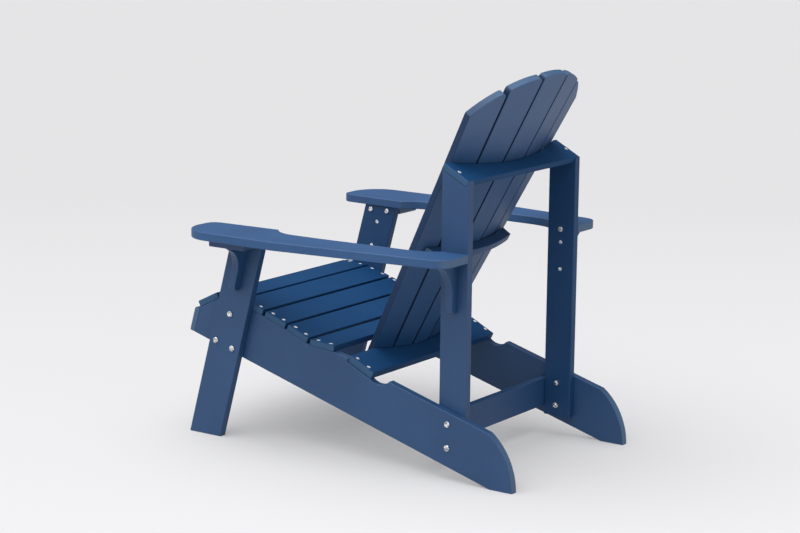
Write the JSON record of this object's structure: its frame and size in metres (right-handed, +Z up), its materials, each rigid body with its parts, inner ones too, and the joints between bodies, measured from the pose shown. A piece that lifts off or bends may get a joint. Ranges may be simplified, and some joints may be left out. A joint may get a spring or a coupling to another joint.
{
  "type": "adirondack chair",
  "caption": "Low slatted garden chair with a fanned, reclined back, a sloping contoured seat, wide flat arms and side boards that run down to rear feet.",
  "frame": {"origin": "on the floor, at the middle of the chair's footprint box", "axes": "+X towards the sitter's left, +Y to the rear, +Z up; the sitter faces -Y"},
  "size_m": [0.7918, 0.942, 0.9322],
  "materials": {
    "navy_boards": "satin, finely brushed along the boards",
    "steel_fasteners": "satin"
  },
  "bodies": {
    "root": {"apron_screws": "steel_fasteners", "arm_bolts": "steel_fasteners", "arm_cleat_left": "navy_boards", "arm_cleat_right": "navy_boards", "arm_left": "navy_boards", "arm_right": "navy_boards", "back_slat_1": "navy_boards", "back_slat_2": "navy_boards", "back_slat_3": "navy_boards", "back_slat_4": "navy_boards", "back_slat_5": "navy_boards", "back_slat_screws": "steel_fasteners", "cleat_bolts": "steel_fasteners", "front_apron": "navy_boards", "front_bracket_left": "navy_boards", "front_bracket_right": "navy_boards", "front_bracket_screws": "steel_fasteners", "front_leg_left": "navy_boards", "front_leg_right": "navy_boards", "leg_bolt_nuts": "steel_fasteners", "leg_bolts": "steel_fasteners", "lower_back_rail": "navy_boards", "middle_back_brace": "navy_boards", "post_bolt_nuts": "steel_fasteners", "post_bolts": "steel_fasteners", "rail_screws": "steel_fasteners", "rear_bracket_left": "navy_boards", "rear_bracket_right": "navy_boards", "rear_bracket_screws": "steel_fasteners", "rear_post_left": "navy_boards", "rear_post_right": "navy_boards", "rear_stretcher": "navy_boards", "seat_screws": "steel_fasteners", "seat_slat_1": "navy_boards", "seat_slat_2": "navy_boards", "seat_slat_3": "navy_boards", "seat_slat_4": "navy_boards", "seat_slat_5": "navy_boards", "seat_slat_6": "navy_boards", "shelf_screws": "steel_fasteners", "stringer_left": "navy_boards", "stringer_right": "navy_boards", "upper_back_shelf": "navy_boards"}
  },
  "joints": []
}
